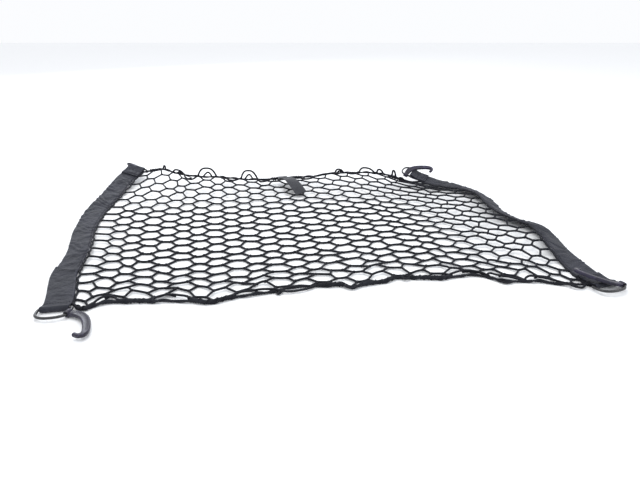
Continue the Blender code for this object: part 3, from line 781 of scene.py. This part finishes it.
def makeNet(lie, borders, finishes):
    nodes = netNodes(lie)
    dice = np.random.default_rng(netting["seed"] + 1)
    shell = Shell()
    runs = smoothRuns(nodes[1:-1], 6, netting["rounding"])
    tubes(shell, runs, netting["strand"], 6)
    k = np.arange(netting["columns"])[:, None]
    m = np.arange(nodes.shape[1])[None, :]
    wall = ((m + k) % 2 == 1) & (m > 0) & (m < nodes.shape[1] - 1)
    start, end = nodes[:-1][wall], nodes[1:][wall]
    # a wall sags sideways by bow sin(pi s)
    s = np.linspace(0, 1, 7)[None, :, None]
    gap = end - start
    across = unit(np.stack([-gap[:, 1], gap[:, 0], np.zeros(len(gap))], 1))[:, None]
    bow = dice.normal(0, 0.9, (len(start), 1, 1))
    walls = start[:, None] + gap[:, None] * s + across * bow * np.sin(math.pi * s)
    tubes(shell, walls, netting["strand"] * 1.04, 6)
    # knots: short spindles over the joints, along the walls
    share = np.array((-1.0, -0.55, 0.0, 0.55, 1.0))[None, :, None]
    inside = np.broadcast_to(k > 0, wall.shape)[wall]
    insideEnd = np.broadcast_to(k < netting["columns"] - 1, wall.shape)[wall]
    joints = np.concatenate([start[inside], end[insideEnd]])
    heads = unit(np.concatenate([gap[inside], -gap[insideEnd]]))
    long = dice.uniform(2.6, 3.8, (len(joints), 1, 1))
    spindle = joints[:, None] + heads[:, None] * (share + 0.35) * long
    fat = netting["knot"] * np.array((0.35, 0.86, 1.0, 0.86, 0.35))[None]
    spindle[..., 2] = np.maximum(spindle[..., 2], fat * 1.12)
    tubes(shell, spindle, fat * dice.uniform(0.9, 1.12, (len(joints), 1)), 6)
    for line in borders:
        tubes(shell, line[None], netting["strand"], 6)
    return shell.build("hexMesh", "net_laid", ["net"], finishes)


def looped(line, loops, way, radius):
    # slack strand: along the cord, plus reach towards the net and rise, times 1 - |2s - 1|^2.4
    s = np.linspace(0, 1, 30)
    bulge = 1 - np.abs(2 * s - 1) ** 2.4
    paths = []
    for start, end, reach, rise in loops:
        x = start + (end - start) * (s + 0.06 * np.sin(2 * math.pi * s))
        spot = readAt(x, line[:, 0], line)
        spot[:, 1] += way * reach * bulge
        spot[:, 2] = np.maximum(spot[:, 2] + rise * bulge, radius + 0.1)
        paths.append(spot)
    return np.array(paths)


def borderStrand(line, way, stretches, radius, seed):
    # beside the cord, and off it where it is slack: reach and rise times 1 - |2s^0.8 - 1|^2.6
    dense = resample(line, 3600)
    x = dense[:, 0]
    held = ease(x, x[0], x[0] + 30) * (1 - ease(x, x[-1] - 40, x[-1] - 10))
    off = held * (1.6 + 0.9 * wander(x, seed, 40.0))
    up = held * (1.4 + 1.0 * wander(x, seed + 1, 33.0))
    for start, end, reach, rise in stretches:
        s = np.clip((x - start) / (end - start), 0, 1) ** 0.8
        bulge = 1 - np.abs(2 * s - 1) ** 2.6
        off = off + reach * bulge
        up = up + rise * bulge
    dense[:, 1] += way * off
    dense[:, 2] = np.maximum(dense[:, 2] + up, radius + 0.1)
    return resample(dense, 1500)


def makeCord(name, line, way, finishes):
    line = resample(line, 620)
    x = line[:, 0]
    bunches, thin = cords[name + "Bunches"], cords["radius"][name]
    thick = np.zeros(len(x))
    for low, high in bunches:
        thick = np.maximum(thick, ease(x, low - 7, low + 5) * (1 - ease(x, high - 5, high + 7)))
    radius = thin + (cords["bunched"] - thin) * thick
    radius = radius * (1 + 0.08 * wander(x, 41, 16.0))
    core = line.copy()
    core[:, 2] = np.maximum(core[:, 2], radius * 1.12 + 0.1)
    shell = Shell()
    tubes(shell, core[None], radius[None], 16, lobes=(cords["plies"], cords["plyDepth"], cords["lay"]))
    # a strand of the net winds along the cord: width sin(phase) to the side, 0.8 width
    # cos(phase) up
    run = lengthRun(line)
    level = levelAcross(line)
    phase = 2 * math.pi * run / cords["windPitch"] + 1.6 * wander(run, 51, 90.0)
    width = 2.2 + 1.6 * thick + 0.8 * wander(run, 52, 60.0)
    width = width * ease(run, 0, 30) * (1 - ease(run, run[-1] - 40, run[-1] - 10))
    strand = line + level * (width * np.sin(phase))[:, None]
    strand[:, 2] = np.maximum(strand[:, 2] + 0.8 * width * np.cos(phase), cords["border"] + 0.1)
    tubes(shell, strand[None], cords["border"], 7)
    # wraps where the net is bunched on the cord: reach sin(angle) to the side, reach
    # cos(angle) up
    for low, high in bunches:
        turns = max(2, int((high - low) / cords["wrapPitch"]))
        s = np.linspace(0, 1, turns * 14)
        at, angle = low + (high - low) * s, 2 * math.pi * turns * s
        reach = cords["bunched"] + 0.4
        coil = readAt(at, x, core) + readAt(at, x, level) * (reach * np.sin(angle))[:, None]
        coil[:, 2] = np.maximum(coil[:, 2] + reach * np.cos(angle), cords["wrap"] + 0.05)
        tubes(shell, coil[None], cords["wrap"], 6)
    # the far arches stand in a leaning plane, the near ones lie flat
    normal = (0, 0, 1.0) if name == "near" else (0, 0.8, -0.6)
    edge = borderStrand(line, way, cords[name + "Edge"], cords["border"], 53)
    tubes(shell, edge[None], cords["edge"][name], 8, normal)
    extra = looped(line, cords[name + "Extra"], way, cords["border"])
    tubes(shell, extra, cords["edge"][name] * 0.95, 7, normal)
    return shell.build(name + "Cord", "net_laid", [name + "_cord"], finishes)


tabShape = {
    "width": 25.0,
    "thick": 1.8,
    "under": 24.0,
    "stitchLength": 2.4,
    "stitchPitch": 3.3,
    "stitchRows": (74.0, 77.5),
    "curl": 2.2,
    "spread": 0.12,
    "cordAt": -89.0,
    "cordRadius": 3.0,
    # cord to free end: x, y, z
    "path": ((-81, 264, 20), (-71, 246, 27.5), (-59, 227, 29), (-46, 207, 21.5), (-33, 187, 9.3)),
    "cloth": {
        "rib": 0.0012,
        "pick": 0.002,
        "half": 0.0125,
        "dark": (0.008, 0.009, 0.013, 1),
        "mid": (0.028, 0.030, 0.040, 1),
        # light and wear: colour and share of the lightened patches, partly real wear at the selvedges
        # and partly painted highlight
        "light": (0.16, 0.165, 0.19, 1),
        "wear": 0.45,
        "rough": 0.6,
        "sheen": 0.06,
        "crease": 3.0,
    },
}


def tabCourse(farLine):
    # free end back to the cord along the arched path, round it with cord + r (toward cos a
    # + top sin a), and a short layer under
    path = spline(tabShape["path"], 12)
    i = int(np.argmin(abs(farLine[:, 0] - tabShape["cordAt"])))
    cord = farLine[i]
    cordWay = unit(farLine[i + 1] - farLine[i - 1])
    heading = path[0] - cord
    heading = (heading - cordWay * (heading @ cordWay)) * (1, 1, 0)
    toward, top = unit(heading), np.array((0, 0, 1.0))
    side = np.array((-toward[1], toward[0], 0.0))
    gap = bands["layerGap"] + tabShape["thick"] / 2
    turn = tabShape["cordRadius"] + gap
    layer = tabShape["thick"] + bands["layerGap"]
    reach, riseTo = np.linalg.norm(heading), path[0][2] - cord[2]
    lean = math.atan2(riseTo - turn, reach)
    fall = math.atan2(riseTo - layer + turn, reach)
    angles = np.linspace(math.pi / 2 + lean, 1.5 * math.pi + fall, 10)[:, None]
    loop = cord + toward * turn * np.cos(angles) + top * turn * np.sin(angles)
    along = unit(np.gradient(path, axis=0))
    rise = unit(np.cross(np.repeat(side[None], len(path), 0), along))
    rise = np.where(rise[:, 2:] < 0, -rise, rise)
    under = int(tabShape["under"] / np.linalg.norm(path[1] - path[0]))
    mid = np.vstack([path[::-1], loop, path[:under] - rise[:under] * layer])
    square = np.concatenate([np.linspace(0, 1, len(path)), np.ones(len(loop) + under)])
    across = unit(side + (cordWay - side) * np.clip(square * 2 - 1, 0, 1)[:, None])
    return mid, across


def makeTab(farLine, finishes):
    mid, across = finer(tabCourse(farLine), 8)
    profile = strapProfile(tabShape["width"], tabShape["thick"], 15)
    lift = np.cross(across, unit(np.gradient(mid, axis=0)))
    run = lengthRun(mid)
    # along the free part the edges curl down by curl (2x / width)^2 and the tab widens
    curl = -tabShape["curl"] * (profile[:, 0] / (tabShape["width"] / 2)) ** 2
    free = (1 - ease(run, 40, 75))[:, None]
    sign = np.where(lift[: len(lift) // 3, 2].mean() > 0, 1.0, -1.0)
    shape = np.broadcast_to(profile, (len(mid), *profile.shape)).copy()
    shape[..., 1] += sign * curl * free * ease(run, 0, 12)[:, None]
    shape[..., 0] *= 1 + tabShape["spread"] * free
    shell = Shell()
    sweep(shell, mid[None], across[None], lift[None], shape[None], mapAcross(profile))
    for at in tabShape["stitchRows"]:
        stitchAcross(shell, (mid, across, lift), int(np.searchsorted(run, at)), tabShape, 0.36)
    piece = shell.build("pullTab", "net_laid", ["tab"], finishes)


rings = {
    "wire": 2.15,
    "half": 24.5,
    "side": 10.0,
    "depth": 27.0,
    "corner": 2.2,
    "square": 0.85,
    # slope away from the band in degrees, shift along the bar towards the net
    "lie": {
        "near_left": (3.0, 1.2),
        "near_right": (8.0, 0.5),
        "far_right": (2.0, -1.0),
        "far_left": (-48.0, 1.0),
    },
    "finish": {
        "dark": (0.008, 0.008, 0.011, 1),
        "light": (0.16, 0.16, 0.18, 1),
        "wear": 0.55,
        "rough": 0.3,
    },
}


def ringPath(corner=4, arc=25):
    # bar with two round corners, then x = half cos^0.85, y = side + (depth - side) sin^0.85
    r = rings["corner"]
    parts = []
    for sign, start in ((1, 0), (-1, 90)):
        turn = np.radians(np.linspace(start, start + 90, corner))
        parts.append(np.stack([sign * (rings["half"] - r) + r * np.cos(turn), r - r * np.sin(turn)], 1))
    angle = np.radians(np.linspace(178, 2, arc))
    c, s = np.cos(angle), np.sin(angle)
    x = rings["half"] * np.sign(c) * np.abs(c) ** rings["square"]
    y = rings["side"] + (rings["depth"] - rings["side"]) * np.abs(s) ** rings["square"]
    return np.vstack([*parts, np.stack([x, y], 1)])


def ringFrame(course, far, slope, shift):
    bar, out, up = endFrame(course, far)
    along = unit(np.cross(out, up))
    turn = math.radians(slope)
    away = unit(out * math.cos(turn) + up * math.sin(turn))
    return bar + along * shift, along, away, unit(np.cross(along, away))


def makeRing(corner, ring, finishes):
    origin, along, away, top = ring
    loop = ringPath()
    closed = resample(np.vstack([loop, loop[:1]]), 241)[:-1]
    points = origin + closed[:, :1] * along + closed[:, 1:] * away
    shell = Shell()
    tubes(shell, points[None], rings["wire"], 18, top, loop=True)
    shell.build(corner + "Ring", "net_laid", ["ring_" + corner], finishes)


hooks = {
    "thick": 6.4,
    "tip": 3.5,
    "eyeRadius": 5.2,
    "eyeLength": 10.0,
    "eyeHole": 2.9,
    "rim": 0.8,
    "groove": 0.26,
    # middle line in the hook's own plane: x, y, width
    "arm": (
        (0, 0, 9), (7, 1.0, 11.5), (14, 1.4, 13), (21, 0.6, 13.2), (28, -2, 13), (35, -6.5, 12.6),
        (41.5, -12.5, 12), (47.5, -19.5, 11.4), (53, -27, 10.8), (57, -34.5, 10), (57.5, -41, 8.4),
        (53, -44.5, 6.2), (47.5, -44, 5),
    ),
    # place (share of the way round the ring), lift of the arm above the ring, side of the tip
    "lie": {
        "near_left": (0.82, -1.9, 1),
        "near_right": (0.89, 164.0, -1),
        "far_right": (0.88, 161.5, -1),
        "far_left": (0.60, 22.5, -1),
    },
    "finish": {
        "dark": (0.005, 0.004, 0.012, 1),
        "mid": (0.018, 0.014, 0.045, 1),
        "light": (0.13, 0.12, 0.23, 1),
        "wear": 0.4,
        "rough": 0.4,
        "coat": 0.2,
    },
}


def hookFrame(ring, place, lift, tipSide):
    origin, along, away, top = ring
    loop = ringPath()
    roundWay = resample(np.vstack([loop[:1], loop[8:][::-1], loop[7:8]]), 401)
    step = np.linalg.norm(roundWay[1] - roundWay[0])
    i = int(place * 400)
    reach = int(hooks["eyeLength"] / 2 / step)
    spots = roundWay[np.clip((i - reach, i, i + reach), 0, 400)]
    x, y = (spots[1] + (spots[0] + spots[2]) / 2) / 2
    eye = origin + along * x + away * y
    chord = spots[2] - spots[0]
    tangent = unit(along * chord[0] + away * chord[1])
    outside = unit(along * chord[1] - away * chord[0])
    tilt = math.radians(lift)
    arm = unit(outside * math.cos(tilt) + top * math.sin(tilt))
    axis = tangent * tipSide
    return eye, arm, axis, unit(np.cross(arm, axis))


def makeHook(corner, hook, finishes):
    eye, arm, axis, top = hook
    frameRows = np.stack([arm, axis, top])
    handed = np.linalg.det(frameRows)
    shell = Shell()
    # arm: rounded rectangle, cos^0.62 and sin^0.62, with a groove down each flat face
    line = spline(hooks["arm"], 90)
    line = line[line[:, 0] + (line[:, 1] < -8) * 99 > 3.3]
    mid = np.column_stack([line[:, 0], line[:, 1], np.zeros(len(line))])
    run = lengthRun(mid)
    angle = 2 * math.pi * np.arange(32) / 32
    c = np.sign(np.cos(angle)) * np.abs(np.cos(angle)) ** 0.62
    s = np.sign(np.sin(angle)) * np.abs(np.sin(angle)) ** 0.62
    width = line[:, 2:3]
    window = (ease(run, 6, 11) * (1 - ease(run, run[-1] - 22, run[-1] - 14)))[:, None]
    dip = 1 - hooks["groove"] * window * (1 - ease(np.abs(c), 0.45, 0.68))
    profile = np.stack([width / 2 * c, hooks["thick"] / 2 * s * dip], -1)
    local = unit(np.gradient(mid, axis=0))
    across = np.cross(local, (0, 0, 1.0))
    path, side = (eye + mid @ frameRows)[None], (across @ frameRows)[None]
    lift = np.tile(top * handed, (1, len(mid), 1))
    sweep(shell, path, side, lift, profile[None], np.linspace(0, 0.03, 33))
    # eye: barrel round the wire, its section going from the outside over both rims
    r1, r2, half, edge = hooks["eyeHole"], hooks["eyeRadius"], hooks["eyeLength"] / 2, hooks["rim"]
    turn = np.radians(np.linspace(0, 90, 5))
    c, s, high = edge * np.cos(turn), edge * np.sin(turn), half - edge
    outer, hole = r2 - edge, r1 + edge
    rims = ((outer + c, high + s), (hole - s, high + c), (hole - c, -high - s), (outer + s, -high - c))
    section = np.hstack([np.stack(rim) for rim in rims]).T[None, None]
    way = 2 * math.pi * np.arange(40) / 40 * handed
    barrel = np.stack([np.cos(way), 0 * way, np.sin(way)], 1) @ frameRows
    centres, axes = (np.tile(line, (1, 40, 1)) for line in (eye, axis))
    sweep(shell, centres, barrel[None], axes, section, np.zeros(21), loop=True)
    # tip: ball on the end of the arm
    makeBall(shell, eye + np.array((*hooks["arm"][-1][:2], 0)) @ frameRows, hooks["tip"])
    shell.build(corner + "Hook", "hook_" + corner, ["hook_" + corner], finishes)


def makeBall(shell, centre, radius, rows=14, sides=24):
    # centre + radius (sin p cos a, sin p sin a, cos p), with one point at each pole
    p = (np.pi * np.arange(1, rows) / rows)[:, None]
    a = 2 * math.pi * np.arange(sides) / sides
    belt = np.stack([np.sin(p) * np.cos(a), np.sin(p) * np.sin(a), np.cos(p) + 0 * a], -1)
    points = centre + radius * np.vstack([belt.reshape(-1, 3), [(0, 0, 1.0)], [(0, 0, -1.0)]])
    i, j = np.arange(rows - 2)[:, None] * sides, np.arange(sides)
    after = (j + 1) % sides
    quads = np.stack([i + j, i + sides + j, i + sides + after, i + after], -1).reshape(-1, 4)
    last, north = (rows - 2) * sides, (rows - 1) * sides
    top = np.stack([j, after, 0 * j + north], 1)
    bottom = np.stack([last + after, last + j, 0 * j + north + 1], 1)
    patches = [(faces, (0.0, 0.0), 1) for faces in (quads, np.vstack([top, bottom]))]
    shell.add(points, patches)


setRoom()
layFloor()
print("room ready")

webbing = clothFinish("webbingCloth", bands["webbing"])
thread = yarnFinish("sewingThread", dict(netting["yarn"], yarns=2, lay=0.0012))
knitted = yarnFinish("knittedYarn", netting["yarn"])
tabCloth = clothFinish("tabWebbing", tabShape["cloth"])
wire = wireFinish("coatedWire", rings["finish"])
moulded = mouldedFinish("mouldedHook", hooks["finish"])
print("finishes ready")

leftCourse = makeBand("left", 1, [webbing, thread])
rightCourse = makeBand("right", -1, [webbing, thread])
print("bands ready")

leftEdge = edgeLine(leftCourse, 1, netting["span"]["left"])
rightEdge = edgeLine(rightCourse, -1, netting["span"]["right"])
cordLines = {}
nearRows = [(x, y, 3.0) for x, y in cords["near"]]
for name, rows, k in (("near", nearRows, 0), ("far", cords["far"], -1)):
    ends = [leftEdge[k].copy(), rightEdge[k].copy()]
    for end in ends:
        end[2] = max(end[2], 3.0)
    cordLines[name] = spline([ends[0], *rows, ends[1]], 78)
leftBorder, rightBorder = caughtLine(leftEdge, -1, 61), caughtLine(rightEdge, 1, 67)
sides = []
for end, line in ((0, leftBorder), (-1, rightBorder)):
    sides.append(np.vstack([cordLines["near"][end], line[8:-8], cordLines["far"][end]]))
lie = NetLie(*sides, cordLines["near"], cordLines["far"])
net = makeNet(lie, (leftBorder, rightBorder), [knitted])
print("net ready")

nearCord = makeCord("near", cordLines["near"], 1, [knitted])
farCord = makeCord("far", cordLines["far"], -1, [knitted])
makeTab(cordLines["far"], [tabCloth, thread])
print("cords and tab ready")

for corner in hooks["lie"]:
    far = corner.startswith("far")
    course = leftCourse if corner.endswith("left") else rightCourse
    inner = 1 if corner.endswith("left") else -1
    slope, shift = rings["lie"][corner]
    ring = ringFrame(course, far, slope, shift * inner * (1 if far else -1))
    makeRing(corner, ring, [wire])
    makeHook(corner, hookFrame(ring, *hooks["lie"][corner]), [moulded])
print("rings and hooks ready")
